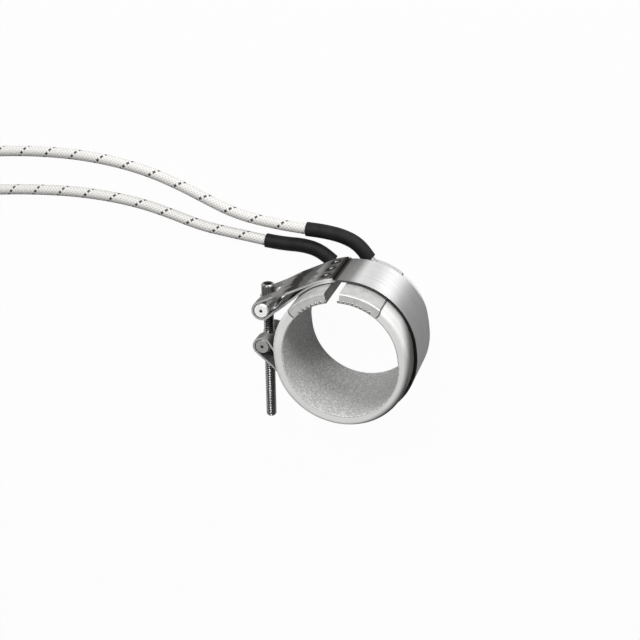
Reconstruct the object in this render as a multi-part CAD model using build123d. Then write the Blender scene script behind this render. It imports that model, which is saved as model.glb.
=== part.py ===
from build123d import *
from math import acos, atan2, cos, degrees, pi, radians, sin, sqrt, tan
import os

# Band heater for a machine barrel or nozzle. A split ring of sheathed, mineral-insulated
# heating ribbon is drawn onto the barrel by a strap, two barrel nuts and one long screw.
# The bore's axis is +Z, the ring stands on its back end at z = 0, and the screw runs along +Y.
# All lengths are in millimetres and all angles in degrees.

# Heater ring
BORE_RADIUS = 22.225
RING_WIDTH = 38.1
WALL = 3.97
SHEATH = 0.5
RIM_ROUND = 1.4
BORE_EDGE_CHAMFER = 0.25
LIP = 4.2
OPENING = 2.2
GAP = 4.9
GAP_TURN = 6.5
LAYER_CLEARANCE = 0.03

# Heating ribbon, wound to and fro between two insulation layers
RIBBON = 0.25
RIBBON_MARGIN = 4.6
RIBBON_SLOT = 1.3
RIBBON_STRIP = 2.0
RIBBON_FOLDS = 34
RIBBON_END_GAP = 1.2
RIBBON_TAB = 2.0

# Formed end caps that close the ring at the gap
CAP_REACH = 35.0
CAP_NOSE = 3.6
CAP_ROUND = 0.8
CAP_SEAM = 0.05

# Terminal pins and ferrules, where the leads leave the end caps near the back edge
LEAD_HEIGHT = 2.85
EXIT_RIGHT_X = 5.6
EXIT_RIGHT_ANGLE = 128.0
EXIT_LEFT_X = -9.0
EXIT_LEFT_ANGLE = 143.0
PIN_RADIUS = 0.55
BUSHING_RADIUS = 1.15
FERRULE_RADIUS = 1.95
FERRULE_BORE = 1.45
FERRULE_OUT = 3.6
SPLICE_RADIUS = 1.1
SPLICE_BORE = 0.65
SPLICE_LENGTH = 2.0
FIT = 0.05

# Leads, sleeves and their bare ends
LEAD_RADIUS = 2.1
CORE_RADIUS = 0.6
BARE_LENGTH = 8.0
SLEEVE_RADIUS = 2.8
SLEEVE_BORE = 2.17
SLEEVE_RISE = 0.7
SLEEVE_LENGTH = 26.0
FIRST_RUN = 4.0

# Clamp strap
STRAP_THICKNESS = 0.8
STRAP_WIDTH = 22.7
STRAP_BACK = 5.9
STRAP_PLAY = 0.5
TAIL_PLAY = 0.05
UPPER_TAIL_END = 100.5
LOWER_TAIL_END = 246.0
LOOP_WIDTH = 18.0
LOOP_SLOT = 7.4
LOOP_SLOT_REACH = 5.4
NECK_START_X = -24.0
NECK_END_X = -30.0
WELD_RADIUS = 1.1
WELD_DEPTH = 0.25
WELD_STEP = 7.0

# Barrel nuts, screw and washer
BARREL_X = -34.8
UPPER_BARREL_Y = 12.2
LOWER_BARREL_Y = -3.0
BARREL_RADIUS = 3.0
BARREL_LENGTH = 18.0
BARREL_CHAMFER = 0.4
BARREL_SEAT = 2.2
SEAT_WIDTH = 7.0
SCREW_RADIUS = 2.085
SCREW_LENGTH = 53.0
SCREW_TIP = 0.7
SCREW_HOLE_PLAY = 0.2
THREAD_PLAY = 0.06
HEAD_RADIUS = 2.6
HEAD_HEIGHT = 5.0
HEAD_ROUND = 0.5
SOCKET_ACROSS_FLATS = 2.6
SOCKET_DEPTH = 2.4
WASHER_RADIUS = 3.2
WASHER_THICKNESS = 0.8

# Values that follow from the sizes above
STRAP_MIDDLE = STRAP_BACK + STRAP_WIDTH / 2
STRAP_RADIUS = BORE_RADIUS + WALL + STRAP_PLAY + STRAP_THICKNESS / 2
TAIL_RADIUS = STRAP_RADIUS + STRAP_THICKNESS + TAIL_PLAY
LOOP_RADIUS = BARREL_RADIUS + FIT + STRAP_THICKNESS / 2
SEAT_Y = UPPER_BARREL_Y + BARREL_SEAT
HEAD_Y = SEAT_Y + WASHER_THICKNESS
RIBBON_DEPTH = (WALL + SHEATH - RIBBON) / 2
TURN = Rot(0, 0, GAP_TURN)


def polar(radius, angle, centre=Vector(0, 0)):
    """The point at this radius and angle about a centre."""
    return centre + Vector(radius * cos(radians(angle)), radius * sin(radians(angle)))


def turned(x, y, z=0.0):
    """A point of the ring's own frame, carried into the part's frame."""
    return Vector(x, y, z).rotate(Axis.Z, GAP_TURN)


def cylinder_between(start, end, radius):
    """A round bar from one point to another."""
    return Plane(start, z_dir=end - start) * Cylinder(
        radius, (end - start).length, align=(Align.CENTER, Align.CENTER, Align.MIN)
    )


def block(section):
    """A closed upright prism over the whole width, from a flat outline."""
    return Pos(0, 0, -RING_WIDTH) * extrude(section, 3 * RING_WIDTH)


# The ring is a lower half circle about the bore's axis, and two upper quarters about a
# centre that lies OPENING higher, because the ring is sprung apart at the gap. Each of its
# layers is one section, drawn as depth outside the bore against height, and turned round both.
RING_TOP = Vector(0, OPENING)


def ring(section, end_x):
    """A layer of the ring that ends at this place each side of the gap, which points along +Y."""
    profile = Plane.XZ * Pos(BORE_RADIUS, 0) * section
    reach = degrees(acos(end_x / BORE_RADIUS))
    quarter = Pos(RING_TOP) * revolve(profile, Axis.Z, reach) + extrude(profile, OPENING, dir=(0, 1, 0))
    return revolve(profile, Axis.Z, -180) + quarter + mirror(quarter, Plane.YZ)


def strip(near, far, bottom, top):
    """A rectangular section from one depth and height to another."""
    return Pos(near, bottom) * Rectangle(far - near, top - bottom, align=(Align.MIN, Align.MIN))


def rounded_strip(near, far, bottom, top, rounding):
    """The same section, with its outer corners rounded."""
    section = strip(near, far, bottom, top)
    return fillet(section.vertices().sort_by(Axis.X)[-2:], rounding)


def cornered_strip(near, far, bottom, top):
    """The same section, with its outer corners cut off, to lie inside a rounded rim."""
    section = strip(near, far, bottom, top)
    return chamfer(section.vertices().sort_by(Axis.X)[-2:], RIM_ROUND - SHEATH)


def bore_edged(section):
    """The same section, with the two edges of the bore cut off."""
    return chamfer(section.vertices().sort_by(Axis.X)[:2], BORE_EDGE_CHAMFER)


def cap_zone(side, clearance=0.0):
    """The upright prism that holds one end cap: a sector at the gap with a rounded far end."""
    middle = BORE_RADIUS + WALL / 2
    nose = polar(middle, 90 - side * CAP_REACH, RING_TOP)
    far = 2 * (BORE_RADIUS + WALL)
    sector = make_face(
        Polyline(RING_TOP, RING_TOP + Vector(0, far), polar(far, 90 - side * CAP_REACH, RING_TOP), close=True)
    )
    return block(sector + Pos(nose) * Circle(CAP_NOSE + clearance))


# The outer sheath is a channel, rounded at both rims, whose lips lie on the bore's liner.
END_X = GAP / 2 + SHEATH + LAYER_CLEARANCE
channel = rounded_strip(SHEATH, WALL, 0, RING_WIDTH, RIM_ROUND)
channel -= cornered_strip(2 * SHEATH, WALL - SHEATH, SHEATH, RING_WIDTH - SHEATH)
channel -= strip(0, 2 * SHEATH, LIP, RING_WIDTH - LIP)
outer_sheath = ring(channel, END_X)
inner_sheath = ring(bore_edged(strip(0, SHEATH, 0, RING_WIDTH)), END_X)
for side in (1, -1):
    inner_sheath -= cap_zone(side, CAP_SEAM)
    outer_sheath -= cap_zone(side, CAP_SEAM)

# An insulation layer lies each side of the ribbon, and fills what the sheaths leave.
layer_bottom = SHEATH + LAYER_CLEARANCE
layer_top = RING_WIDTH - layer_bottom
inner_end = RIBBON_DEPTH - LAYER_CLEARANCE
inner_layer = strip(2 * SHEATH + LAYER_CLEARANCE, inner_end, layer_bottom, layer_top)
inner_layer += strip(
    SHEATH + LAYER_CLEARANCE, inner_end, LIP + LAYER_CLEARANCE, RING_WIDTH - LIP - LAYER_CLEARANCE
)
inner_insulation = ring(inner_layer, END_X)
outer_insulation = ring(
    cornered_strip(
        RIBBON_DEPTH + RIBBON + LAYER_CLEARANCE, WALL - SHEATH - LAYER_CLEARANCE, layer_bottom, layer_top
    ),
    END_X,
)


def ring_path(end_x):
    """The bore's line, clockwise from the right-hand end to the left-hand end."""
    reach = degrees(acos(end_x / BORE_RADIUS))
    side = Vector(BORE_RADIUS, 0)
    edges = [
        CenterArc(RING_TOP, BORE_RADIUS, reach, -reach),
        Line(RING_TOP + side, side),
        CenterArc((0, 0), BORE_RADIUS, 0, -180),
        Line(-side, RING_TOP - side),
        CenterArc(RING_TOP, BORE_RADIUS, 180, -reach),
    ]
    return Wire(edges)


# The heating ribbon is one thin band, slotted from its two edges in turn, so that the
# current runs to and fro across the width. Its two end legs reach down to the pins.
ribbon_end_x = END_X + RIBBON_END_GAP
heating_ribbon = ring(
    strip(RIBBON_DEPTH, RIBBON_DEPTH + RIBBON, RIBBON_MARGIN, RING_WIDTH - RIBBON_MARGIN), ribbon_end_x
)
ribbon_path = ring_path(ribbon_end_x)
slot_height = RING_WIDTH - 2 * RIBBON_MARGIN - RIBBON_STRIP
slots = Part()
for fold in range(1, RIBBON_FOLDS):
    place = ribbon_path.position_at(fold / RIBBON_FOLDS)
    heading = ribbon_path.tangent_at(fold / RIBBON_FOLDS)
    bottom = RIBBON_MARGIN + RIBBON_STRIP * (fold % 2)
    plane = Plane(place, x_dir=heading, z_dir=Vector(0, 0, 1))
    slots += plane * Pos(0, 0, bottom + slot_height / 2) * Box(RIBBON_SLOT, 2 * WALL, slot_height)
heating_ribbon -= slots


def surface_point(x):
    """The point of the end cap's outer face at this place across the gap, at the leads' height."""
    radius = BORE_RADIUS + WALL
    return turned(x, OPENING + sqrt(radius**2 - x**2), LEAD_HEIGHT)


def unit(angle):
    """A level direction."""
    return Vector(cos(radians(angle)), sin(radians(angle)), 0)


EXITS = {
    "right": (surface_point(EXIT_RIGHT_X), unit(EXIT_RIGHT_ANGLE), 1),
    "left": (surface_point(EXIT_LEFT_X), unit(EXIT_LEFT_ANGLE), -1),
}

inner_sheath = TURN * inner_sheath
outer_sheath = TURN * outer_sheath
inner_insulation = TURN * inner_insulation
outer_insulation = TURN * outer_insulation
heating_ribbon = TURN * heating_ribbon
ring_body = TURN * ring(strip(-WALL, WALL + FIT, -RING_WIDTH, 2 * RING_WIDTH), GAP / 2)


def end_cap(side):
    """A pressed steel cap, closed at the gap, whose rounded far end meets the sheaths."""
    shell = ring(bore_edged(rounded_strip(0, WALL, 0, RING_WIDTH, CAP_ROUND)), GAP / 2)
    hollow = ring(strip(SHEATH, WALL - SHEATH, SHEATH, RING_WIDTH - SHEATH), GAP / 2 + SHEATH)
    return TURN * ((shell - hollow) & cap_zone(side))


# Each pin rises from a tab on the ribbon's end leg and runs out through a ceramic bushing.
# Its tip meets the lead's core in a crimped splice, which a steel ferrule shields.
nodes = {}
ribbon_outside = Pos(turned(0, OPENING)) * Cylinder(BORE_RADIUS + RIBBON_DEPTH + RIBBON, 4 * RING_WIDTH)
ribbon_inside = Pos(turned(0, OPENING)) * Cylinder(BORE_RADIUS + RIBBON_DEPTH, 4 * RING_WIDTH)
for name, (surface, out, side) in EXITS.items():
    normal = (surface - turned(0, OPENING, LEAD_HEIGHT)).normalized()
    lean = cos(radians(out.get_angle(normal)))
    root = surface - out * ((WALL - RIBBON_DEPTH - RIBBON / 2) / lean)
    mouth = surface + out * FERRULE_OUT
    splice_end = mouth - out * FIT
    splice_start = splice_end - out * SPLICE_LENGTH
    splice_middle = (splice_start + splice_end) / 2
    hole = cylinder_between(root, mouth, BUSHING_RADIUS + FIT)
    outer_insulation -= hole
    inner_sheath -= hole
    outer_sheath -= hole
    nodes[f"end_cap_{name}"] = end_cap(side) - hole

    tab_place = Plane(root, x_dir=normal, z_dir=Vector(0, 0, 1))
    tab_height = RIBBON_MARGIN + RIBBON_STRIP - LEAD_HEIGHT + RIBBON_TAB / 2
    tab = tab_place * Pos(0, 0, -RIBBON_TAB / 2) * Box(
        WALL, RIBBON_TAB, tab_height, align=(Align.CENTER, Align.CENTER, Align.MIN)
    )
    heating_ribbon += tab & (ribbon_outside - ribbon_inside)
    nodes[f"terminal_pin_{name}"] = cylinder_between(root, splice_middle - out * FIT, PIN_RADIUS) - ribbon_outside

    bushing = cylinder_between(root + out, splice_start - out * FIT, BUSHING_RADIUS)
    nodes[f"pin_bushing_{name}"] = bushing - cylinder_between(root, mouth, PIN_RADIUS + FIT)
    ferrule = cylinder_between(surface - out * FERRULE_RADIUS, mouth, FERRULE_RADIUS)
    ferrule -= cylinder_between(root, mouth, FERRULE_BORE)
    nodes[f"lead_ferrule_{name}"] = ferrule - ring_body
    splice = cylinder_between(splice_start, splice_end, SPLICE_RADIUS)
    nodes[f"lead_splice_{name}"] = splice - cylinder_between(root, mouth, SPLICE_BORE)

nodes["inner_sheath"] = inner_sheath
nodes["outer_sheath"] = outer_sheath
nodes["inner_insulation"] = inner_insulation
nodes["outer_insulation"] = outer_insulation
nodes["heating_ribbon"] = heating_ribbon


# The strap is one band, laid round the ring and looped about a barrel nut at each end. Each
# loop's tail comes back over the strap's outside, where it is spot-welded.
STRAP_TOP = turned(0, OPENING)
STRAP_FOOT = Vector(0, 0, 0)
UPPER_BARREL = Vector(BARREL_X, UPPER_BARREL_Y)
LOWER_BARREL = Vector(BARREL_X, LOWER_BARREL_Y)


def angle_of(vector):
    """The direction of a level vector."""
    return degrees(atan2(vector.Y, vector.X))


def run_angle(centre, barrel, side):
    """Where the strap's inner run leaves its arc, to cross over to a barrel's far side."""
    gap = barrel - centre
    return angle_of(gap) % 360 - side * degrees(acos((STRAP_RADIUS + LOOP_RADIUS) / gap.length))


def tail_angle(centre, barrel, side):
    """Where a loop's tail leaves the barrel and lands on the strap's outside."""
    gap = barrel - centre
    return angle_of(gap) % 360 - side * degrees(acos((TAIL_RADIUS - LOOP_RADIUS) / gap.length))


upper_run = run_angle(STRAP_TOP, UPPER_BARREL, 1)
upper_tail = tail_angle(STRAP_TOP, UPPER_BARREL, 1)
lower_run = run_angle(STRAP_FOOT, LOWER_BARREL, -1)
lower_tail = tail_angle(STRAP_FOOT, LOWER_BARREL, -1)
strap_line = Wire([
    CenterArc(STRAP_TOP, TAIL_RADIUS, UPPER_TAIL_END, upper_tail - UPPER_TAIL_END),
    Line(polar(TAIL_RADIUS, upper_tail, STRAP_TOP), polar(LOOP_RADIUS, upper_tail, UPPER_BARREL)),
    CenterArc(UPPER_BARREL, LOOP_RADIUS, upper_tail, upper_run + 180 - upper_tail),
    Line(polar(LOOP_RADIUS, upper_run + 180, UPPER_BARREL), polar(STRAP_RADIUS, upper_run, STRAP_TOP)),
    CenterArc(STRAP_TOP, STRAP_RADIUS, upper_run, GAP_TURN - upper_run),
    Line(polar(STRAP_RADIUS, GAP_TURN, STRAP_TOP), polar(STRAP_RADIUS, GAP_TURN)),
    CenterArc((0, 0), STRAP_RADIUS, GAP_TURN, lower_run - 360 - GAP_TURN),
    Line(polar(STRAP_RADIUS, lower_run), polar(LOOP_RADIUS, lower_run - 180, LOWER_BARREL)),
    CenterArc(LOWER_BARREL, LOOP_RADIUS, lower_run - 180, lower_tail - lower_run + 180),
    Line(polar(LOOP_RADIUS, lower_tail, LOWER_BARREL), polar(TAIL_RADIUS, lower_tail)),
    CenterArc((0, 0), TAIL_RADIUS, lower_tail, LOWER_TAIL_END - lower_tail),
])
strap_start = Plane(strap_line.position_at(0), x_dir=(0, 0, 1), z_dir=strap_line.tangent_at(0))
clamp_strap = sweep(strap_start * Rectangle(STRAP_WIDTH, STRAP_THICKNESS), path=strap_line)
clamp_strap = Pos(0, 0, STRAP_MIDDLE) * clamp_strap

# The loops are necked in on both sides, and slotted in the middle for the screw.
far = 2 * STRAP_RADIUS
slot_root = BARREL_X + LOOP_SLOT_REACH
slot = Pos(slot_root, 0, STRAP_MIDDLE) * Box(far, far, LOOP_SLOT, align=(Align.MAX, Align.CENTER, Align.CENTER))
clamp_strap -= slot
for side in (1, -1):
    shoulder = Polyline(
        (NECK_START_X, STRAP_MIDDLE + side * STRAP_WIDTH),
        (NECK_START_X, STRAP_MIDDLE + side * STRAP_WIDTH / 2),
        (NECK_END_X, STRAP_MIDDLE + side * LOOP_WIDTH / 2),
        (-far, STRAP_MIDDLE + side * LOOP_WIDTH / 2),
        (-far, STRAP_MIDDLE + side * STRAP_WIDTH),
        close=True,
    )
    neck = extrude(Plane.XZ * make_face(shoulder), far, both=True)
    clamp_strap -= neck

# Three spot welds dent each tail where it lies on the strap.
WELD_ROWS = [
    (STRAP_TOP, (UPPER_TAIL_END + upper_tail) / 2),
    (STRAP_FOOT, (LOWER_TAIL_END + lower_tail) / 2),
]
for centre, angle in WELD_ROWS:
    floor = polar(TAIL_RADIUS + STRAP_THICKNESS / 2 - WELD_DEPTH, angle, centre)
    for row in (-1, 0, 1):
        spot = floor + Vector(0, 0, STRAP_MIDDLE + row * WELD_STEP)
        clamp_strap -= cylinder_between(spot, spot + unit(angle) * STRAP_THICKNESS, WELD_RADIUS)
nodes["clamp_strap"] = clamp_strap


def barrel_nut(centre, hole_radius):
    """A turned barrel with a cross hole for the screw."""
    barrel = Cylinder(BARREL_RADIUS, BARREL_LENGTH)
    barrel = chamfer(barrel.edges().filter_by(GeomType.CIRCLE), BARREL_CHAMFER)
    barrel -= Rot(90, 0, 0) * Cylinder(hole_radius, 4 * BARREL_RADIUS)
    return Pos(centre + Vector(0, 0, STRAP_MIDDLE)) * barrel


seat = Pos(BARREL_X, SEAT_Y, STRAP_MIDDLE) * Box(
    2 * BARREL_RADIUS, BARREL_RADIUS, SEAT_WIDTH, align=(Align.CENTER, Align.MIN, Align.CENTER)
)
nodes["plain_barrel"] = barrel_nut(UPPER_BARREL, SCREW_RADIUS + SCREW_HOLE_PLAY) - seat
nodes["threaded_barrel"] = barrel_nut(LOWER_BARREL, SCREW_RADIUS + THREAD_PLAY)

# The screw and washer are drawn standing on their lower faces, then laid along +Y.
SCREW_PLACE = Plane((BARREL_X, HEAD_Y, STRAP_MIDDLE), x_dir=(0, 0, 1), z_dir=(0, 1, 0))
UPRIGHT = (Align.CENTER, Align.CENTER, Align.MIN)
head = Cylinder(HEAD_RADIUS, HEAD_HEIGHT, align=UPRIGHT)
head = fillet(head.edges().filter_by(GeomType.CIRCLE).sort_by(Axis.Z)[-1], HEAD_ROUND)
socket = RegularPolygon(SOCKET_ACROSS_FLATS / 2, 6, major_radius=False)
head -= Pos(0, 0, HEAD_HEIGHT - SOCKET_DEPTH) * extrude(socket, HEAD_HEIGHT)
shank = Pos(0, 0, -SCREW_LENGTH) * Cylinder(SCREW_RADIUS, SCREW_LENGTH, align=UPRIGHT)
shank = chamfer(shank.edges().filter_by(GeomType.CIRCLE).sort_by(Axis.Z)[0], SCREW_TIP)
nodes["clamp_screw"] = SCREW_PLACE * (head + shank)
washer = Cylinder(WASHER_RADIUS, WASHER_THICKNESS, align=UPRIGHT)
washer -= Cylinder(SCREW_RADIUS + SCREW_HOLE_PLAY, 4 * WASHER_THICKNESS)
nodes["screw_washer"] = Plane((BARREL_X, SEAT_Y, STRAP_MIDDLE), x_dir=(0, 0, 1), z_dir=(0, 1, 0)) * washer

# Each lead leaves its ferrule inside a black sleeve, lies down on the floor and runs off to
# the left, and its spare end is turned back in a hook. Both lines are in the part's frame.
LEAD_ROUTES = {
    "right": [
        (-8.5, 37.0, LEAD_HEIGHT),
        (-16.0, 38.2, LEAD_HEIGHT),
        (-24.5, 38.5, LEAD_HEIGHT),
        (-32.4, 38.9, LEAD_RADIUS + 0.4),
        (-42.0, 39.8, LEAD_RADIUS),
        (-51.0, 41.4, LEAD_RADIUS),
        (-59.0, 44.1, LEAD_RADIUS),
        (-67.5, 47.8, LEAD_RADIUS),
        (-76.5, 51.6, LEAD_RADIUS),
        (-88.0, 55.6, LEAD_RADIUS),
        (-102.0, 58.6, LEAD_RADIUS),
        (-119.0, 60.3, LEAD_RADIUS),
        (-138.0, 60.2, LEAD_RADIUS),
        (-157.0, 58.6, LEAD_RADIUS),
        (-174.0, 56.2, LEAD_RADIUS),
        (-188.0, 53.6, LEAD_RADIUS),
        (-200.6, 44.1, LEAD_RADIUS),
        (-207.8, 30.0, LEAD_RADIUS),
        (-208.1, 14.2, LEAD_RADIUS),
        (-201.4, -0.1, LEAD_RADIUS),
    ],
    "left": [
        (-24.5, 31.6, LEAD_HEIGHT),
        (-32.0, 31.5, LEAD_HEIGHT),
        (-39.3, 32.0, LEAD_HEIGHT),
        (-46.0, 32.8, LEAD_RADIUS + 0.6),
        (-52.4, 33.4, LEAD_RADIUS + 0.25),
        (-59.0, 34.1, LEAD_RADIUS),
        (-65.5, 35.0, LEAD_RADIUS),
        (-72.5, 36.7, LEAD_RADIUS),
        (-80.5, 39.1, LEAD_RADIUS),
        (-91.0, 41.8, LEAD_RADIUS),
        (-104.0, 43.7, LEAD_RADIUS),
        (-120.0, 44.6, LEAD_RADIUS),
        (-138.0, 44.0, LEAD_RADIUS),
        (-156.0, 42.4, LEAD_RADIUS),
        (-172.0, 40.2, LEAD_RADIUS),
        (-185.0, 37.6, LEAD_RADIUS),
        (-194.6, 30.1, LEAD_RADIUS),
        (-199.8, 19.0, LEAD_RADIUS),
        (-199.3, 6.8, LEAD_RADIUS),
        (-193.4, -3.8, LEAD_RADIUS),
        (-183.3, -10.7, LEAD_RADIUS),
        (-171.2, -12.1, LEAD_RADIUS),
    ],
}
ARC_SHARE = 0.45


def cord_path(points):
    """Straight runs joined by tangent arcs, each as large as its two runs allow."""
    points = [Vector(*point) for point in points]
    radii = []
    for before, corner, after in zip(points, points[1:], points[2:]):
        turn = (corner - before).get_angle(after - corner)
        shorter = min((corner - before).length, (after - corner).length)
        radii.append(ARC_SHARE * shorter / tan(radians(turn / 2)))
    return FilletPolyline(*points, radius=radii), radii


def tube(path, radius, bore=0.0):
    """A round tube or rod along a path."""
    start = Plane(path.position_at(0), z_dir=path.tangent_at(0))
    section = Circle(radius) - Circle(bore) if bore else Circle(radius)
    return sweep(start * section, path=path)


for name, (surface, out, side) in EXITS.items():
    mouth = surface + out * FERRULE_OUT
    path, radii = cord_path([mouth, mouth + out * FIRST_RUN] + LEAD_ROUTES[name])
    lead = tube(path, LEAD_RADIUS)
    expected = path.length * pi * LEAD_RADIUS**2
    print(name, "mouth", mouth, "next", mouth + out * FIRST_RUN)
    print(f"{name} lead {path.length:.1f} long, volume {lead.volume / expected:.4f} of its section's sweep,")
    print("  arcs", ", ".join(f"{radius:.1f}" for radius in radii))
    nodes[f"lead_wire_{name}"] = lead

    covered = path.trim(0, SLEEVE_LENGTH / path.length)
    sleeve_path = Wire([Line(surface + out * SLEEVE_RISE, mouth)] + list(covered.edges()))
    nodes[f"lead_sleeve_{name}"] = tube(sleeve_path, SLEEVE_RADIUS, SLEEVE_BORE) - ring_body

    stub = cylinder_between(mouth - out * (FIT + SPLICE_LENGTH / 2), mouth, CORE_RADIUS)
    end = path.position_at(1)
    bare_end = cylinder_between(end, end + path.tangent_at(1) * BARE_LENGTH, CORE_RADIUS)
    nodes[f"lead_core_{name}"] = Compound(children=[stub, bare_end])

os.makedirs("parts", exist_ok=True)
for name, solid in nodes.items():
    print(name, len(solid.solids()), round(solid.volume, 2))
    export_step(solid, f"parts/{name}.step")
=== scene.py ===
from math import cos, pi, radians, sin
import bmesh
import bpy
from mathutils import Matrix, Vector


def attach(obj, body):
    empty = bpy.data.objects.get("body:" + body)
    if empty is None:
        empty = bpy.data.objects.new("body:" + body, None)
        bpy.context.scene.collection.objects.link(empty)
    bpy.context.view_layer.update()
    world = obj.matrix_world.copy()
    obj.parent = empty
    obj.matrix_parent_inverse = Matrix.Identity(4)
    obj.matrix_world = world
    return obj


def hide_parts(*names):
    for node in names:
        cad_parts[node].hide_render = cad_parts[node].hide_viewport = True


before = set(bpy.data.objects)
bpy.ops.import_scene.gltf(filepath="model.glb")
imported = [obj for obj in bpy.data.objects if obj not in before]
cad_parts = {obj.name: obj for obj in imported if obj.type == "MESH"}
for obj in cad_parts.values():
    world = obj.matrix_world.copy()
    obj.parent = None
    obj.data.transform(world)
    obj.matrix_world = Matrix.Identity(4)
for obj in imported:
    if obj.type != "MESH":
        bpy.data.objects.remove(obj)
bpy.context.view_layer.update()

# The camera looks down on the heater from the right, as the catalogue photograph does, with the
# ring low in the middle of the picture and the two leads running out of its left side.


def placed(name, data):
    """A new object in the scene that shows this data."""
    thing = bpy.data.objects.new(name, data)
    bpy.context.scene.collection.objects.link(thing)
    return thing


camera_data = bpy.data.cameras.new("camera")
camera_data.lens = 67.07
camera_data.shift_x = -0.0310
camera_data.shift_y = 0.0685
camera = placed("camera", camera_data)
camera_right = Vector((0.963, 0.000, -0.270))
camera_up = Vector((-0.121, 0.894, -0.432))
camera_back = Vector((0.241, 0.449, 0.860))
camera_turn = Matrix((camera_right, camera_up, camera_back)).transposed().to_4x4()
camera.matrix_world = Matrix.Translation((0.1072, 0.1995, 0.4205)) @ camera_turn
bpy.context.scene.camera = camera
bpy.context.scene.view_settings.view_transform = "Standard"

# The heater stands on a plain white table. The table glows a little to the camera and in
# reflections, so that it reads as a white page and still takes the heater's soft shadow.
FLOOR_HALF = 20.0
FLOOR_CORNERS = ((-1, -1), (1, -1), (1, 1), (-1, 1))
GLOW_TO_CAMERA = 0.97
GLOW_IN_REFLECTIONS = 0.62
FLOOR_TONE = (0.50, 0.50, 0.50, 1)
WHITE = (1, 1, 1, 1)


def feed(node, feeds):
    """Gives a node's inputs the sockets that drive them, or plain values."""
    for place, value in feeds.items():
        if isinstance(value, bpy.types.NodeSocket):
            node.id_data.links.new(value, node.inputs[place])
        else:
            node.inputs[place].default_value = value


def add_node(tree, kind, feeds=(), **settings):
    """One new node, with its settings and what its inputs are given."""
    node = tree.nodes.new(kind)
    for setting, value in settings.items():
        setattr(node, setting, value)
    feed(node, dict(feeds))
    return node


def sum_node(tree, operation, *terms):
    """One arithmetic node, fed by sockets or numbers."""
    return add_node(tree, "ShaderNodeMath", enumerate(terms), operation=operation).outputs[0]


floor_mesh = bpy.data.meshes.new("floor")
floor_mesh.from_pydata([(x * FLOOR_HALF, y * FLOOR_HALF, 0) for x, y in FLOOR_CORNERS], [], [(0, 1, 2, 3)])
floor = placed("floor", floor_mesh)
floor_paint = bpy.data.materials.new("floor paint")
floor_paint.use_nodes = True
floor_tree = floor_paint.node_tree
floor_tree.nodes.clear()
floor_ray = add_node(floor_tree, "ShaderNodeLightPath").outputs
floor_share = sum_node(floor_tree, "MULTIPLY", floor_ray["Is Glossy Ray"], GLOW_IN_REFLECTIONS)
floor_share = sum_node(floor_tree, "MULTIPLY_ADD", floor_ray["Is Camera Ray"], GLOW_TO_CAMERA, floor_share)
floor_matte = add_node(floor_tree, "ShaderNodeBsdfDiffuse", {"Color": FLOOR_TONE})
floor_glow = add_node(floor_tree, "ShaderNodeEmission", {"Color": WHITE, "Strength": 1.0})
floor_parts = {"Fac": floor_share, 1: floor_matte.outputs[0], 2: floor_glow.outputs[0]}
floor_mix = add_node(floor_tree, "ShaderNodeMixShader", floor_parts)
add_node(floor_tree, "ShaderNodeOutputMaterial", {"Surface": floor_mix.outputs[0]})
floor_mesh.materials.append(floor_paint)

# Soft studio light: a key softbox above the gap, a low one on the right that draws the upright
# streak on the strap, a weak one overhead, a weak one low on the left that lights the screw and
# the barrels, and a dim even sky.
LIT_POINT = Vector((0, 0, 0.02))
world = bpy.data.worlds.new("studio")
world.use_nodes = True
feed(world.node_tree.nodes["Background"], {"Color": WHITE, "Strength": 0.08})
bpy.context.scene.world = world


def soft_lamp(name, place, width, height, power):
    """An oblong area lamp that looks at the heater, with its height in the upright plane."""
    data = bpy.data.lights.new(name, "AREA")
    data.shape = "RECTANGLE"
    data.size = width
    data.size_y = height
    data.energy = power
    lamp = placed(name, data)
    lamp.location = place
    lamp.rotation_euler = (LIT_POINT - Vector(place)).to_track_quat("-Z", "Y").to_euler()


soft_lamp("key lamp", (-0.107, 0.675, 0.758), 0.25, 0.30, 7.0)
soft_lamp("streak lamp", (0.47, 0.74, 0.22), 0.38, 0.40, 6.6)
soft_lamp("top lamp", (-0.22, -0.42, 0.80), 0.50, 0.50, 1.1)
soft_lamp("side lamp", (-0.70, 0.36, 0.18), 0.30, 0.30, 0.8)

# Two heater leads: stranded, nickel-plated wire under a white braided glass-fibre jacket with
# a dark tracer thread. Each leaves its terminal, lies down on the table and runs to the left.


def level(angle, reach=1):
    """A level vector of this length, turned this far from +X."""
    return Vector((reach * cos(angle), reach * sin(angle), 0))


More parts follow.
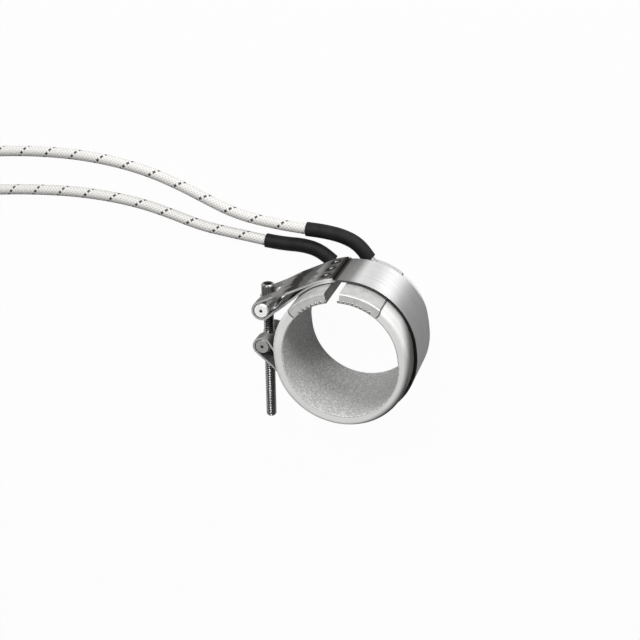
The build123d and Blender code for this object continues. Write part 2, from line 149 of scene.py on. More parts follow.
LEAD_RADIUS = 0.0021
LEAD_HEIGHT = 0.00285
LEAD_EXITS = {
    "right": (Vector((0.00020177, 0.0310816, LEAD_HEIGHT)), level(radians(128))),
    "left": (Vector((-0.0148511, 0.0277758, LEAD_HEIGHT)), level(radians(143))),
}
FIRST_RUN = 0.004
SKIN_STEP = 0.0006
BRAID_LAY = 0.0112
BRAID_CARRIERS = 8
TRACER_EDGE = 0.94
TRACER_DIP = -0.2
LEAD_ROUTES = {
    "right": [
        (-0.0085, 0.0370, LEAD_HEIGHT),
        (-0.0160, 0.0382, LEAD_HEIGHT),
        (-0.0245, 0.0385, LEAD_HEIGHT),
        (-0.0324, 0.0389, LEAD_RADIUS + 0.0004),
        (-0.0420, 0.0398, LEAD_RADIUS),
        (-0.0510, 0.0414, LEAD_RADIUS),
        (-0.0590, 0.0441, LEAD_RADIUS),
        (-0.0675, 0.0478, LEAD_RADIUS),
        (-0.0765, 0.0516, LEAD_RADIUS),
        (-0.0880, 0.0556, LEAD_RADIUS),
        (-0.1020, 0.0586, LEAD_RADIUS),
        (-0.1190, 0.0603, LEAD_RADIUS),
        (-0.1380, 0.0602, LEAD_RADIUS),
        (-0.1570, 0.0586, LEAD_RADIUS),
        (-0.1740, 0.0562, LEAD_RADIUS),
        (-0.1880, 0.0536, LEAD_RADIUS),
        (-0.2006, 0.0441, LEAD_RADIUS),
        (-0.2078, 0.0300, LEAD_RADIUS),
        (-0.2081, 0.0142, LEAD_RADIUS),
        (-0.2014, -0.0001, LEAD_RADIUS),
    ],
    "left": [
        (-0.0245, 0.0316, LEAD_HEIGHT),
        (-0.0320, 0.0315, LEAD_HEIGHT),
        (-0.0393, 0.0320, LEAD_HEIGHT),
        (-0.0460, 0.0328, LEAD_RADIUS + 0.0006),
        (-0.0524, 0.0334, LEAD_RADIUS + 0.00025),
        (-0.0590, 0.0341, LEAD_RADIUS),
        (-0.0655, 0.0350, LEAD_RADIUS),
        (-0.0725, 0.0367, LEAD_RADIUS),
        (-0.0805, 0.0391, LEAD_RADIUS),
        (-0.0910, 0.0418, LEAD_RADIUS),
        (-0.1040, 0.0437, LEAD_RADIUS),
        (-0.1200, 0.0446, LEAD_RADIUS),
        (-0.1380, 0.0440, LEAD_RADIUS),
        (-0.1560, 0.0424, LEAD_RADIUS),
        (-0.1720, 0.0402, LEAD_RADIUS),
        (-0.1850, 0.0376, LEAD_RADIUS),
        (-0.1946, 0.0301, LEAD_RADIUS),
        (-0.1998, 0.0190, LEAD_RADIUS),
        (-0.1993, 0.0068, LEAD_RADIUS),
        (-0.1934, -0.0038, LEAD_RADIUS),
        (-0.1833, -0.0107, LEAD_RADIUS),
        (-0.1712, -0.0121, LEAD_RADIUS),
    ],
}


def open_curve(kind, points):
    """A curve with one open spline of this kind."""
    curve = bpy.data.curves.new("line", "CURVE")
    curve.dimensions = "3D"
    spline = curve.splines.new(kind)
    spline.points.add(len(points) - 1)
    for control, point in zip(spline.points, points):
        control.co = (*point, 1)
    return curve


def smooth_line(points):
    """The points along a NURBS spline that these points control."""
    curve = open_curve("NURBS", points)
    spline = curve.splines[0]
    spline.order_u = 3
    spline.use_endpoint_u = True
    spline.resolution_u = 12
    guide = bpy.data.objects.new("line", curve)
    mesh = bpy.data.meshes.new_from_object(guide)
    line = [vertex.co.copy() for vertex in mesh.vertices]
    bpy.data.objects.remove(guide)
    bpy.data.meshes.remove(mesh)
    bpy.data.curves.remove(curve)
    return line


def new_tree(name, made, given):
    """A geometry node tree with named inputs, a finish and one output, and its inputs' sockets."""
    tree = bpy.data.node_groups.new(name, "GeometryNodeTree")
    for title, value in given.items():
        kind = "Geometry" if value is None else type(value).__name__.capitalize()
        socket = tree.interface.new_socket(title, in_out="INPUT", socket_type="NodeSocket" + kind)
        if value is not None:
            socket.default_value = value
    tree.interface.new_socket("Finish", in_out="INPUT", socket_type="NodeSocketMaterial")
    tree.interface.new_socket(made, in_out="OUTPUT", socket_type="NodeSocketGeometry")
    return tree, add_node(tree, "NodeGroupInput").outputs


def end_tree(tree, geometry, finish):
    """The tree's last nodes: instances made real, then given their material."""
    real = add_node(tree, "GeometryNodeRealizeInstances", {"Geometry": geometry})
    dressed = {"Geometry": real.outputs["Geometry"], "Material": finish}
    finished = add_node(tree, "GeometryNodeSetMaterial", dressed)
    add_node(tree, "NodeGroupOutput", {0: finished.outputs["Geometry"]})
    return tree


def keep_value(tree, curve, title, value):
    """Keeps a value with a curve's points, and gives both back."""
    keep = add_node(tree, "GeometryNodeCaptureAttribute", {"Geometry": curve})
    keep.capture_items.new("FLOAT", title)
    feed(keep, {title: value})
    return keep.outputs["Geometry"], keep.outputs[title]


def tube_tree():
    """A node tree that wraps a round skin about a line, and records where each point of it is."""
    sizes = {"Line": None, "Radius": LEAD_RADIUS, "Step": SKIN_STEP, "Sides": 32, "Closed Ends": False}
    tree, given = new_tree("round skin on a line", "Skin", sizes)
    spacing = {"Curve": given["Line"], "Length": given["Step"]}
    spaced = add_node(tree, "GeometryNodeResampleCurve", spacing, mode="LENGTH")
    along = add_node(tree, "GeometryNodeSplineParameter").outputs["Length"]
    line, along = keep_value(tree, spaced.outputs["Curve"], "Length", along)
    round_form = {"Radius": given["Radius"], "Resolution": given["Sides"]}
    circle = add_node(tree, "GeometryNodeCurvePrimitiveCircle", round_form)
    around = add_node(tree, "GeometryNodeSplineParameter").outputs["Factor"]
    section, around = keep_value(tree, circle.outputs["Curve"], "Turn", around)
    covering = {"Curve": line, "Profile Curve": section, "Fill Caps": given["Closed Ends"]}
    skin = add_node(tree, "GeometryNodeCurveToMesh", covering)
    turn = sum_node(tree, "MULTIPLY", around, 2 * pi)
    wrap_parts = {"X": sum_node(tree, "COSINE", turn), "Y": sum_node(tree, "SINE", turn), "Z": along}
    wrap = add_node(tree, "ShaderNodeCombineXYZ", wrap_parts)
    record = {"Geometry": skin.outputs["Mesh"], "Name": "wrap", "Value": wrap.outputs["Vector"]}
    kept_as = {"data_type": "FLOAT_VECTOR", "domain": "POINT"}
    store = add_node(tree, "GeometryNodeStoreNamedAttribute", record, **kept_as)
    smooth = add_node(tree, "GeometryNodeSetShadeSmooth", {"Geometry": store.outputs["Geometry"]})
    return end_tree(tree, smooth.outputs["Geometry"], given["Finish"])


SKIN = tube_tree()


def grown(name, data, tree, settings):
    """A plain mesh object, made by a node tree from a mesh or curve and its named settings."""
    seed = placed(name + " seed", data)
    modifier = seed.modifiers.new("tree", "NODES")
    modifier.node_group = tree
    for item in tree.interface.items_tree:
        if item.in_out == "INPUT" and item.name in settings:
            modifier[item.identifier] = settings[item.name]
    seed_now = seed.evaluated_get(bpy.context.evaluated_depsgraph_get())
    mesh = bpy.data.meshes.new_from_object(seed_now)
    mesh.name = name
    bpy.data.objects.remove(seed)
    return placed(name, mesh)


def skin_along(name, line, radius, finish, closed=True, sides=32):
    """A round skin along a line of points."""
    settings = {"Radius": radius, "Sides": sides, "Closed Ends": closed, "Finish": finish}
    return grown(name, open_curve("POLY", line), SKIN, settings)


def new_finish(name):
    """A node material, its tree and its shader."""
    material = bpy.data.materials.new(name)
    material.use_nodes = True
    return material, material.node_tree, material.node_tree.nodes["Principled BSDF"]


def own_texture(tree, kind, scale, **more):
    """A procedural texture over the surface's own coordinates."""
    place = add_node(tree, "ShaderNodeTexCoord").outputs["Object"]
    return add_node(tree, "ShaderNodeTex" + kind, {"Vector": place, "Scale": scale, **more}).outputs


def split(tree, vector):
    """The X, Y and Z of a vector."""
    return add_node(tree, "ShaderNodeSeparateXYZ", {0: vector}).outputs


def colour_steps(tree, value, stops):
    """A colour ramp along a value."""
    ramp = add_node(tree, "ShaderNodeValToRGB", {"Fac": value})
    while len(ramp.color_ramp.elements) < len(stops):
        ramp.color_ramp.elements.new(0.5)
    for element, (place, colour) in zip(ramp.color_ramp.elements, stops):
        element.position = place
        element.color = (*colour, 1)
    return ramp.outputs["Color"]


def blended(tree, share, base, other, blend="MIX"):
    """Two colours mixed by this share, or multiplied where the blend says so."""
    feeds = {"Factor": share, "A": base, "B": other}
    return add_node(tree, "ShaderNodeMix", feeds, data_type="RGBA", blend_type=blend).outputs["Result"]


def raise_surface(shader, height, strength, distance):
    """Raises the surface a little where the height is large."""
    feeds = {"Strength": strength, "Distance": distance, "Height": height}
    feed(shader, {"Normal": add_node(shader.id_data, "ShaderNodeBump", feeds).outputs["Normal"]})


def ways_round(tree, lay):
    """The turn about a round skin as a braid's bundles have it, forward and backward."""
    parts = split(tree, add_node(tree, "ShaderNodeAttribute", attribute_name="wrap").outputs["Vector"])
    turn = sum_node(tree, "ARCTAN2", parts["Y"], parts["X"])
    travel = sum_node(tree, "MULTIPLY", parts["Z"], 2 * pi / lay)
    return [sum_node(tree, operation, turn, travel) for operation in ("ADD", "SUBTRACT")]


def woven(tree, ways, carriers):
    """The height of a braid, which is the higher of the two bundles that cross there."""
    waves = [sum_node(tree, "COSINE", sum_node(tree, "MULTIPLY", way, carriers)) for way in ways]
    return sum_node(tree, "MAXIMUM", *waves)


def braid_finish():
    """White glass-fibre braid: crossing bundles, painted shade where they dip, one dark tracer."""
    material, tree, shader = new_finish("white glass-fibre braid")
    forward, backward = ways_round(tree, BRAID_LAY)
    over = woven(tree, (forward, backward), BRAID_CARRIERS)
    relief = sum_node(tree, "MULTIPLY_ADD", over, 0.5, 0.5)
    tracer_band = sum_node(tree, "GREATER_THAN", sum_node(tree, "COSINE", forward), TRACER_EDGE)
    crossing = sum_node(tree, "COSINE", sum_node(tree, "MULTIPLY", backward, BRAID_CARRIERS / 2))
    tracer_over = sum_node(tree, "GREATER_THAN", crossing, TRACER_DIP)
    tracer_seen = sum_node(tree, "MULTIPLY", tracer_band, tracer_over)
    dust = own_texture(tree, "Noise", 900, Detail=3)["Fac"]
    # Painted shade where the weave dips, over a random dusty tone.
    shade = sum_node(tree, "MULTIPLY_ADD", dust, 0.35, relief)
    stops = [(0.15, (0.34, 0.33, 0.32)), (0.5, (0.55, 0.54, 0.525)), (1.0, (0.66, 0.65, 0.63))]
    white = colour_steps(tree, shade, stops)
    colour = blended(tree, tracer_seen, white, (0.045, 0.045, 0.05, 1))
    feed(shader, {"Base Color": colour, "Roughness": 0.75})
    raise_surface(shader, relief, 0.8, 0.00012)
    return material


braid = braid_finish()
lead_lines = {}
for side, (mouth, out) in LEAD_EXITS.items():
    line = smooth_line([mouth, mouth + out * FIRST_RUN] + [Vector(point) for point in LEAD_ROUTES[side]])
    lead_lines[side] = line
    lead = skin_along("lead_jacket_" + side, line, LEAD_RADIUS, braid)
    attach(lead, "heater")
    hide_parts("lead_wire_" + side)

# Each lead's root is covered by a black sleeve, slipped over the terminal ferrule. It is plain
# coated glass-fibre tubing, cut square, that bends with the lead.
SLEEVE_RADIUS = 0.0028
SLEEVE_WALL = 0.00063
SLEEVE_START = 0.0029
SLEEVE_LENGTH = 0.026
WEAVE_LAY = 0.009
WEAVE_CARRIERS = 14


def sleeve_finish():
    """Black coated tubing, semi-matte, with the faint weave of the glass fibre inside it."""
    material, tree, shader = new_finish("black coated sleeve")
    weave = woven(tree, ways_round(tree, WEAVE_LAY), WEAVE_CARRIERS)
    blotch = own_texture(tree, "Noise", 260)["Fac"]
    black = colour_steps(tree, blotch, [(0.3, (0.005, 0.005, 0.006)), (0.7, (0.012, 0.012, 0.013))])
    feed(shader, {"Base Color": black, "Roughness": 0.58, "Specular IOR Level": 0.2})
    raise_surface(shader, weave, 0.35, 0.00008)
    return material


black_sleeve = sleeve_finish()
for side, (mouth, out) in LEAD_EXITS.items():
    covered = [mouth - out * SLEEVE_START]
    reached = 0.0
    for before, after in zip(lead_lines[side], lead_lines[side][1:]):
        covered.append(before)
        reached += (after - before).length
        if reached > SLEEVE_LENGTH:
            break
    sleeve = skin_along("sleeve_" + side, covered, SLEEVE_RADIUS, black_sleeve, closed=False, sides=40)
    wall = sleeve.modifiers.new("wall", "SOLIDIFY")
    wall.thickness = SLEEVE_WALL
    wall.offset = -1
    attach(sleeve, "heater")
    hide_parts("lead_sleeve_" + side)

# The leads' conductors are seven nickel-plated strands, one straight and six twisted about it.
# They show at the stripped end, and a short stub of each is crimped into its terminal's splice.
CORE_RADIUS = 0.0006
STRAND_RADIUS = CORE_RADIUS / 3
STRAND_PITCH = 0.006
STRAND_SIDES = 10
STRANDS_AROUND = 6
BARE_LENGTH = 0.0064
STUB_LENGTH = 0.00105


def upright_line(tree, length):
    """A straight line up from the origin."""
    top = add_node(tree, "ShaderNodeCombineXYZ", {"Z": length})
    return add_node(tree, "GeometryNodeCurvePrimitiveLine", {"End": top.outputs["Vector"]}).outputs["Curve"]


def closed_skin(tree, line, radius, sides):
    """A round skin about a line, closed at its ends."""
    circle = add_node(tree, "GeometryNodeCurvePrimitiveCircle", {"Resolution": sides, "Radius": radius})
    feeds = {"Curve": line, "Profile Curve": circle.outputs["Curve"], "Fill Caps": True}
    return add_node(tree, "GeometryNodeCurveToMesh", feeds).outputs["Mesh"]


def strand_tree():
    """A node tree that twists six strands about a straight one, standing on the origin."""
    sizes = {"Length": BARE_LENGTH, "Pitch": STRAND_PITCH, "Strand Radius": STRAND_RADIUS}
    tree, given = new_tree("twisted strands", "Strands", sizes)
    reach = sum_node(tree, "MULTIPLY", given["Strand Radius"], 2)
    helix = {
        "Resolution": 32,
        "Rotations": sum_node(tree, "DIVIDE", given["Length"], given["Pitch"]),
        "Start Radius": reach,
        "End Radius": reach,
        "Height": given["Length"],
    }
    spiral = add_node(tree, "GeometryNodeCurveSpiral", helix)
    copies = {"Amount": STRANDS_AROUND, "Geometry": spiral.outputs["Curve"]}
    six = add_node(tree, "GeometryNodeDuplicateElements", copies, domain="SPLINE").outputs
    place = add_node(tree, "GeometryNodeInputPosition").outputs["Position"]
    turn = sum_node(tree, "MULTIPLY", six["Duplicate Index"], 2 * pi / STRANDS_AROUND)
    turning = {"Vector": place, "Angle": turn}
    turned = add_node(tree, "ShaderNodeVectorRotate", turning, rotation_type="Z_AXIS")
    lay_out = {"Geometry": six["Geometry"], "Position": turned.outputs["Vector"]}
    moved = add_node(tree, "GeometryNodeSetPosition", lay_out)
    joined = add_node(tree, "GeometryNodeJoinGeometry", {"Geometry": moved.outputs["Geometry"]})
    feed(joined, {"Geometry": upright_line(tree, given["Length"])})
    skin = closed_skin(tree, joined.outputs["Geometry"], given["Strand Radius"], STRAND_SIDES)
    return end_tree(tree, skin, given["Finish"])


def plated_strand_finish():
    """Nickel plate, drawn thin and a little dull."""
    material, tree, shader = new_finish("nickel-plated strand")
    wear = own_texture(tree, "Noise", 1400)["Fac"]
    tone = colour_steps(tree, wear, [(0.3, (0.46, 0.43, 0.38)), (0.7, (0.74, 0.71, 0.66))])
    feed(shader, {"Base Color": tone, "Metallic": 1.0, "Roughness": 0.32})
    return material


def set_upright(mesh, start, heading):
    """Moves a mesh that stands on the origin so that it starts here and points this way."""
    turn = heading.to_track_quat("Z", "Y").to_matrix().to_4x4()
    mesh.transform(Matrix.Translation(start) @ turn)


def cast(name, mould):
    """A mesh object made from a bmesh, which is then freed."""
    mesh = bpy.data.meshes.new(name)
    mould.to_mesh(mesh)
    mould.free()
    return placed(name, mesh)


def joined_pieces(name, pieces):
    """One mesh object made of several that share a finish."""
    merged = bmesh.new()
    for piece in pieces:
        merged.from_mesh(piece.data)
    whole = cast(name, merged)
    whole.data.materials.append(pieces[0].data.materials[0])
    for piece in pieces:
        bpy.data.objects.remove(piece)
    return whole


STRANDS = strand_tree()
strand_plate = plated_strand_finish()
for side, (mouth, out) in LEAD_EXITS.items():
    end = lead_lines[side][-1]
    heading = (end - lead_lines[side][-2]).normalized()
    pieces = []
    for start, direction, length in (
        (end, heading, BARE_LENGTH),
        (mouth - out * STUB_LENGTH, out, STUB_LENGTH),
    ):
        blank = bpy.data.meshes.new("strands")
        piece = grown("strands", blank, STRANDS, {"Length": length, "Finish": strand_plate})
        set_upright(piece.data, start, direction)
        pieces.append(piece)
    core = joined_pieces("conductor_" + side, pieces)
    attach(core, "heater")
    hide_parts("lead_core_" + side)

# A short steel ferrule stands on each end cap where a lead comes out. It is turned from tube,
# brazed to the cap, and shields the crimped splice inside it.


def plain_metal(name, colour, roughness, grain):
    """Bare metal with a fine grain and slight changes of tone."""
    material, tree, shader = new_finish(name)
    contrast = 0.12
    gloss_change = 0.16
    speck = own_texture(tree, "Noise", grain, Detail=4)["Fac"]
    dark = tuple((1 - contrast) * part for part in colour)
    light = tuple((1 + contrast) * part for part in colour)
    tone = colour_steps(tree, speck, [(0.35, dark), (0.65, light)])
    gloss = sum_node(tree, "MULTIPLY_ADD", speck, gloss_change, roughness - gloss_change / 2)
    feed(shader, {"Base Color": tone, "Roughness": gloss, "Metallic": 1.0})
    raise_surface(shader, speck, 0.25, 0.00002)
    return material


def dress(node, material):
    """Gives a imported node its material."""
    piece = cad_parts[node]
    piece.data.materials.clear()
    piece.data.materials.append(material)


ferrule_steel = plain_metal("ferrule steel", (0.56, 0.56, 0.55), 0.34, 1500)
for side in LEAD_EXITS:
    dress("lead_ferrule_" + side, ferrule_steel)

# Inside each ferrule a small nickel tube joins the terminal pin to the lead's strands. It is
# crimped flat on both with a toothed tool, which leaves fine cross marks.


def crimped_finish():
    """Soft nickel with the rows of marks that the crimping tool leaves."""
    material, tree, shader = new_finish("crimped nickel")
    rows = own_texture(tree, "Wave", 1100, Distortion=1.5)["Fac"]
    tone = colour_steps(tree, rows, [(0.2, (0.52, 0.50, 0.45)), (0.8, (0.70, 0.68, 0.63))])
    feed(shader, {"Base Color": tone, "Metallic": 1.0, "Roughness": 0.36})
    raise_surface(shader, rows, 0.4, 0.00004)
    return material


crimped_nickel = crimped_finish()
for side in LEAD_EXITS:
    dress("lead_splice_" + side, crimped_nickel)

# The terminal pins are nickel rods welded to the ends of the heating ribbon. Each runs out
# through a pressed ceramic bushing that keeps it off the steel.
pin_nickel = plain_metal("terminal nickel", (0.66, 0.64, 0.60), 0.30, 1800)


def bushing_finish():
    """Unglazed white ceramic, slightly grainy, with a few grey specks."""
    material, tree, shader = new_finish("white bushing ceramic")
    grit = own_texture(tree, "Voronoi", 2600)["Distance"]
    tone = colour_steps(tree, grit, [(0.05, (0.62, 0.60, 0.56)), (0.35, (0.88, 0.86, 0.81))])
    feed(shader, {"Base Color": tone, "Roughness": 0.82})
    raise_surface(shader, grit, 0.3, 0.00003)
    return material


bushing_ceramic = bushing_finish()
for side in LEAD_EXITS:
    dress("terminal_pin_" + side, pin_nickel)
    dress("pin_bushing_" + side, bushing_ceramic)

# The heating ribbon is thin resistance alloy, slotted from both edges so that the current runs
# to and fro across the ring. Work at red heat has left it a dull grey-brown.


def ribbon_finish():
    """Oxidised resistance alloy with cloudy brown and blue-grey patches."""
    material, tree, shader = new_finish("oxidised heating alloy")
    cloud = own_texture(tree, "Noise", 320, Detail=5)["Fac"]
    stops = [(0.32, (0.20, 0.16, 0.13)), (0.5, (0.34, 0.31, 0.29)), (0.68, (0.27, 0.30, 0.34))]
    feed(shader, {"Base Color": colour_steps(tree, cloud, stops), "Metallic": 0.9, "Roughness": 0.52})
    raise_surface(shader, cloud, 0.2, 0.00002)
    return material


dress("heating_ribbon", ribbon_finish())

# A layer of mineral insulation lies on each side of the ribbon. It is built up of thin mica
# sheets, pale amber with pearly flakes, and is clamped flat by the sheaths.


def mica_finish():
    """Amber mica: overlapping flakes of slightly different tone and gloss."""
    material, tree, shader = new_finish("amber mica sheet")
    flakes = own_texture(tree, "Voronoi", 380)
    shade = add_node(tree, "ShaderNodeSeparateColor", {"Color": flakes["Color"]}).outputs
    stops = [(0.1, (0.58, 0.47, 0.32)), (0.5, (0.74, 0.66, 0.52)), (0.9, (0.83, 0.77, 0.64))]
    gloss = sum_node(tree, "MULTIPLY_ADD", shade["Green"], 0.35, 0.3)
    feed(shader, {"Base Color": colour_steps(tree, shade["Red"], stops), "Roughness": gloss})
    raise_surface(shader, flakes["Distance"], 0.3, 0.00003)
    return material


mica = mica_finish()
for node in ("inner_insulation", "outer_insulation"):
    dress(node, mica)

# The bore's liner is thin stainless sheet, rolled to fit the machine barrel. Its face is fully
# stippled, a dull grey with fine light and dark specks.


def liner_finish():
    """Stippled sheet: small dimples in no order, over a fine grain."""
    material, tree, shader = new_finish("stippled bore sheet")
    dimples = own_texture(tree, "Voronoi", 1300, Randomness=0.9)["Distance"]
    grain = own_texture(tree, "Noise", 2400, Detail=3)["Fac"]
    relief = sum_node(tree, "MULTIPLY_ADD", grain, 0.6, dimples)
    stops = [(0.35, (0.29, 0.29, 0.29)), (0.75, (0.47, 0.47, 0.465)), (1.0, (0.61, 0.61, 0.60))]
    feed(shader, {"Base Color": colour_steps(tree, relief, stops), "Metallic": 0.10})
    feed(shader, {"Roughness": 0.62, "Specular IOR Level": 0.3})
    raise_surface(shader, relief, 0.6, 0.00010)
    return material


dress("inner_sheath", liner_finish())

# The outer sheath is pressed from one stainless strip: the ring's outside and both rounded rims.
# It is satin, ground lightly along its length, and dark where the caps are welded on. Painted
# shade darkens it beside the strap, most on the ring's right side.
BORE_RADIUS = 0.022225
WALL = 0.00397
RING_WIDTH = 0.0381
GAP_TURN = radians(6.5)
SPRUNG_OPEN = 0.0022
RING_TOP = Vector((-SPRUNG_OPEN * sin(GAP_TURN), SPRUNG_OPEN * cos(GAP_TURN), 0))
CAP_REACH = radians(35)
CAP_NOSE = 0.0036
HEAT_WIDTH = 0.0007
STRAP_MIDDLE = 0.01725
STRAP_HALF = 0.01135
# Sizes of the painted shade beside the strap and on the ring's right side.
SHADE_FADE_HEIGHT = 0.009
CLEAR_AT_STRAP = 0.45
DARK_SIDE = level(radians(-30), 1.6 / (BORE_RADIUS + WALL))
DARK_SIDE_START = 0.6
ROUNDING_START = 0.0232
ROUNDING_WIDTH = 0.0026
DARK_ON_WALL = 0.35
DARKER_ON_ROUNDING = 1.30


def about_gap(radius, angle):
    """The point at this radius from the upper quarters' centre and this angle from the gap."""
    return RING_TOP + level(pi / 2 + GAP_TURN - angle, radius)


def spread_from(tree, centre, across=(1, 1, 0)):
    """How far the surface is from a line through this point, upright unless told otherwise."""
    place = add_node(tree, "ShaderNodeTexCoord").outputs["Object"]
    origin = [-part * share for part, share in zip(centre, across)]
    shifted = add_node(tree, "ShaderNodeMapping", {"Vector": place, "Location": origin, "Scale": across})
    length = add_node(tree, "ShaderNodeVectorMath", {0: shifted.outputs["Vector"]}, operation="LENGTH")
    return length.outputs["Value"]


def nearest_of(tree, centres):
    """How far the surface is from the nearer of two upright lines."""
    return sum_node(tree, "MINIMUM", *[spread_from(tree, centre) for centre in centres])


def ground_lines(tree, fineness):
    """Fine unbroken lines round the ring, as grinding along the strip leaves them."""
    place = add_node(tree, "ShaderNodeTexCoord").outputs["Object"]
    drawn = add_node(tree, "ShaderNodeMapping", {"Vector": place, "Scale": (0.03, 0.03, 1)})
    feeds = {"Vector": drawn.outputs["Vector"], "Scale": fineness}
    return add_node(tree, "ShaderNodeTexNoise", feeds).outputs["Fac"]


def tinted(tree, base, distance, reach, stops):
    """A colour darkened by a ramp over this distance from something hot."""
    place = sum_node(tree, "MULTIPLY", distance, 1 / reach)
    return blended(tree, 1.0, base, colour_steps(tree, place, stops), "MULTIPLY")


def haze_tint(tree):
    """Painted shade beside the strap, deepest on the right and on the rims' outer rounding."""
    parts = split(tree, add_node(tree, "ShaderNodeTexCoord").outputs["Object"])
    # Painted shade: darker near the strap, towards the lower right, and most on the outer rounding.
    off_middle = sum_node(tree, "ABSOLUTE", sum_node(tree, "SUBTRACT", parts["Z"], STRAP_MIDDLE))
    at_middle = CLEAR_AT_STRAP - STRAP_HALF / SHADE_FADE_HEIGHT
    clear = sum_node(tree, "MULTIPLY_ADD", off_middle, 1 / SHADE_FADE_HEIGHT, at_middle)
    on_right = sum_node(tree, "MULTIPLY_ADD", parts["X"], DARK_SIDE.x, -DARK_SIDE_START)
    on_right = sum_node(tree, "MULTIPLY_ADD", parts["Y"], DARK_SIDE.y, on_right)
    on_right = sum_node(tree, "MAXIMUM", on_right, 0)
    outward = sum_node(tree, "SUBTRACT", spread_from(tree, Vector((0, 0, 0))), ROUNDING_START)
    outward = sum_node(tree, "MULTIPLY", outward, 1 / ROUNDING_WIDTH)
    outward = sum_node(tree, "MINIMUM", sum_node(tree, "MAXIMUM", outward, 0), 1)
    depth = sum_node(tree, "MULTIPLY_ADD", outward, DARKER_ON_ROUNDING, DARK_ON_WALL)
    shade = sum_node(tree, "MULTIPLY", on_right, depth)
    stops = [
        (0.0, (0.15, 0.147, 0.144)),
        (0.30, (0.34, 0.335, 0.33)),
        (0.60, (0.66, 0.655, 0.65)),
        (0.95, (1, 1, 1)),
    ]
    return colour_steps(tree, sum_node(tree, "SUBTRACT", clear, shade), stops)


def sheath_finish():
    """Satin stainless strip, with a narrow dark line of heat at each cap's weld, and painted shade."""
    material, tree, shader = new_finish("satin sheath steel")
    lines = ground_lines(tree, 2200)
    satin = colour_steps(tree, lines, [(0.3, (0.67, 0.67, 0.66)), (0.7, (0.76, 0.76, 0.75))])
    cap_ends = [about_gap(BORE_RADIUS + WALL / 2, angle) for angle in (CAP_REACH, -CAP_REACH)]
    from_weld = sum_node(tree, "SUBTRACT", nearest_of(tree, cap_ends), CAP_NOSE)
    heat_stops = [(0.0, (0.07, 0.065, 0.06)), (0.45, (0.16, 0.15, 0.14)), (1.0, (1, 1, 1))]
    heated = tinted(tree, satin, from_weld, HEAT_WIDTH, heat_stops)
    # The painted shade darkens the satin colour and also lowers the specular level.
    painted_shade = haze_tint(tree)
    feed(shader, {"Base Color": blended(tree, 1.0, heated, painted_shade, "MULTIPLY")})
    feed(shader, {"Specular IOR Level": sum_node(tree, "MULTIPLY", painted_shade, 0.25), "Metallic": 0.05})
    feed(shader, {"Roughness": 0.42, "Anisotropic": 0.6, "Anisotropic Rotation": 0.25})
    raise_surface(shader, lines, 0.12, 0.00002)
    return material


dress("outer_sheath", sheath_finish())

# Two pressed stainless caps close the ring at its gap. Each is pushed over the end of the
# sheath, staked down along the bore's edge, and seam-welded round its curved far end.


def cap_finish():
    """Pressed stainless with soft draw marks, and painted shade on the faces in the gap."""
    material, tree, shader = new_finish("pressed cap steel")
    draw = own_texture(tree, "Noise", 420, Detail=5)["Fac"]
    tone = colour_steps(tree, draw, [(0.3, (0.44, 0.44, 0.43)), (0.7, (0.56, 0.56, 0.55))])
    face = add_node(tree, "ShaderNodeTexCoord").outputs["Normal"]
    across_gap = {0: face, 1: level(GAP_TURN)}
    facing = add_node(tree, "ShaderNodeVectorMath", across_gap, operation="DOT_PRODUCT").outputs["Value"]
    facing = sum_node(tree, "ABSOLUTE", facing)
    # Painted shade: the faces across the gap are darkened.
    gap_face_shade = colour_steps(tree, facing, [(0.72, (1, 1, 1)), (0.92, (0.12, 0.115, 0.11))])
    gloss = sum_node(tree, "MULTIPLY_ADD", draw, 0.2, 0.28)
    colour = blended(tree, 1.0, tone, gap_face_shade, "MULTIPLY")
    feed(shader, {"Base Color": colour, "Metallic": 0.3, "Roughness": gloss})
    raise_surface(shader, draw, 0.2, 0.00004)
    return material


cap_steel = cap_finish()
for side in LEAD_EXITS:
    dress("end_cap_" + side, cap_steel)

# A row of small stakes holds each cap's front rim to the bore's liner. The punch raises a round
# bead of metal at each place, and its heat leaves the bead dark.
STAKE_RADIUS = 0.00055
STAKE_STEP = 0.0017
STAKE_DEPTH = 0.0007
STAKE_FLATTENING = 0.4
STAKE_SPANS = {"right": (0.10, 0.62), "left": (-0.12, -0.62)}
STAKE_LINE_STEPS = 24


def bead_tree():
    """A node tree that sets flattened round beads along a line at even steps."""
    sizes = {"Line": None, "Step": STAKE_STEP, "Radius": STAKE_RADIUS, "Flattening": STAKE_FLATTENING}
    tree, given = new_tree("beads along a line", "Beads", sizes)
    spacing = {"Curve": given["Line"], "Length": given["Step"]}
    spaced = add_node(tree, "GeometryNodeCurveToPoints", spacing, mode="LENGTH")
    bead_form = {"Segments": 14, "Rings": 8, "Radius": given["Radius"]}
    bead = add_node(tree, "GeometryNodeMeshUVSphere", bead_form)
    smooth = add_node(tree, "GeometryNodeSetShadeSmooth", {"Geometry": bead.outputs["Mesh"]})
    flat = add_node(tree, "ShaderNodeCombineXYZ", {"X": 1.0, "Y": 1.0, "Z": given["Flattening"]})
    setting_out = {
        "Points": spaced.outputs["Points"],
        "Instance": smooth.outputs["Geometry"],
        "Scale": flat.outputs["Vector"],
    }
    beads = add_node(tree, "GeometryNodeInstanceOnPoints", setting_out)
    return end_tree(tree, beads.outputs["Instances"], given["Finish"])


STAKES = bead_tree()
stake_steel = plain_metal("stake steel", (0.46, 0.45, 0.44), 0.35, 1600)
for side, (first, last) in STAKE_SPANS.items():
    stake_points = []
    for step in range(STAKE_LINE_STEPS + 1):
        angle = first + (last - first) * step / STAKE_LINE_STEPS
        stake_point = about_gap(BORE_RADIUS + STAKE_DEPTH, angle)
        stake_points.append((stake_point.x, stake_point.y, RING_WIDTH))
    stake_line = open_curve("POLY", stake_points)
    stakes = grown("cap_stakes_" + side, stake_line, STAKES, {"Finish": stake_steel})
    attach(stakes, "heater")
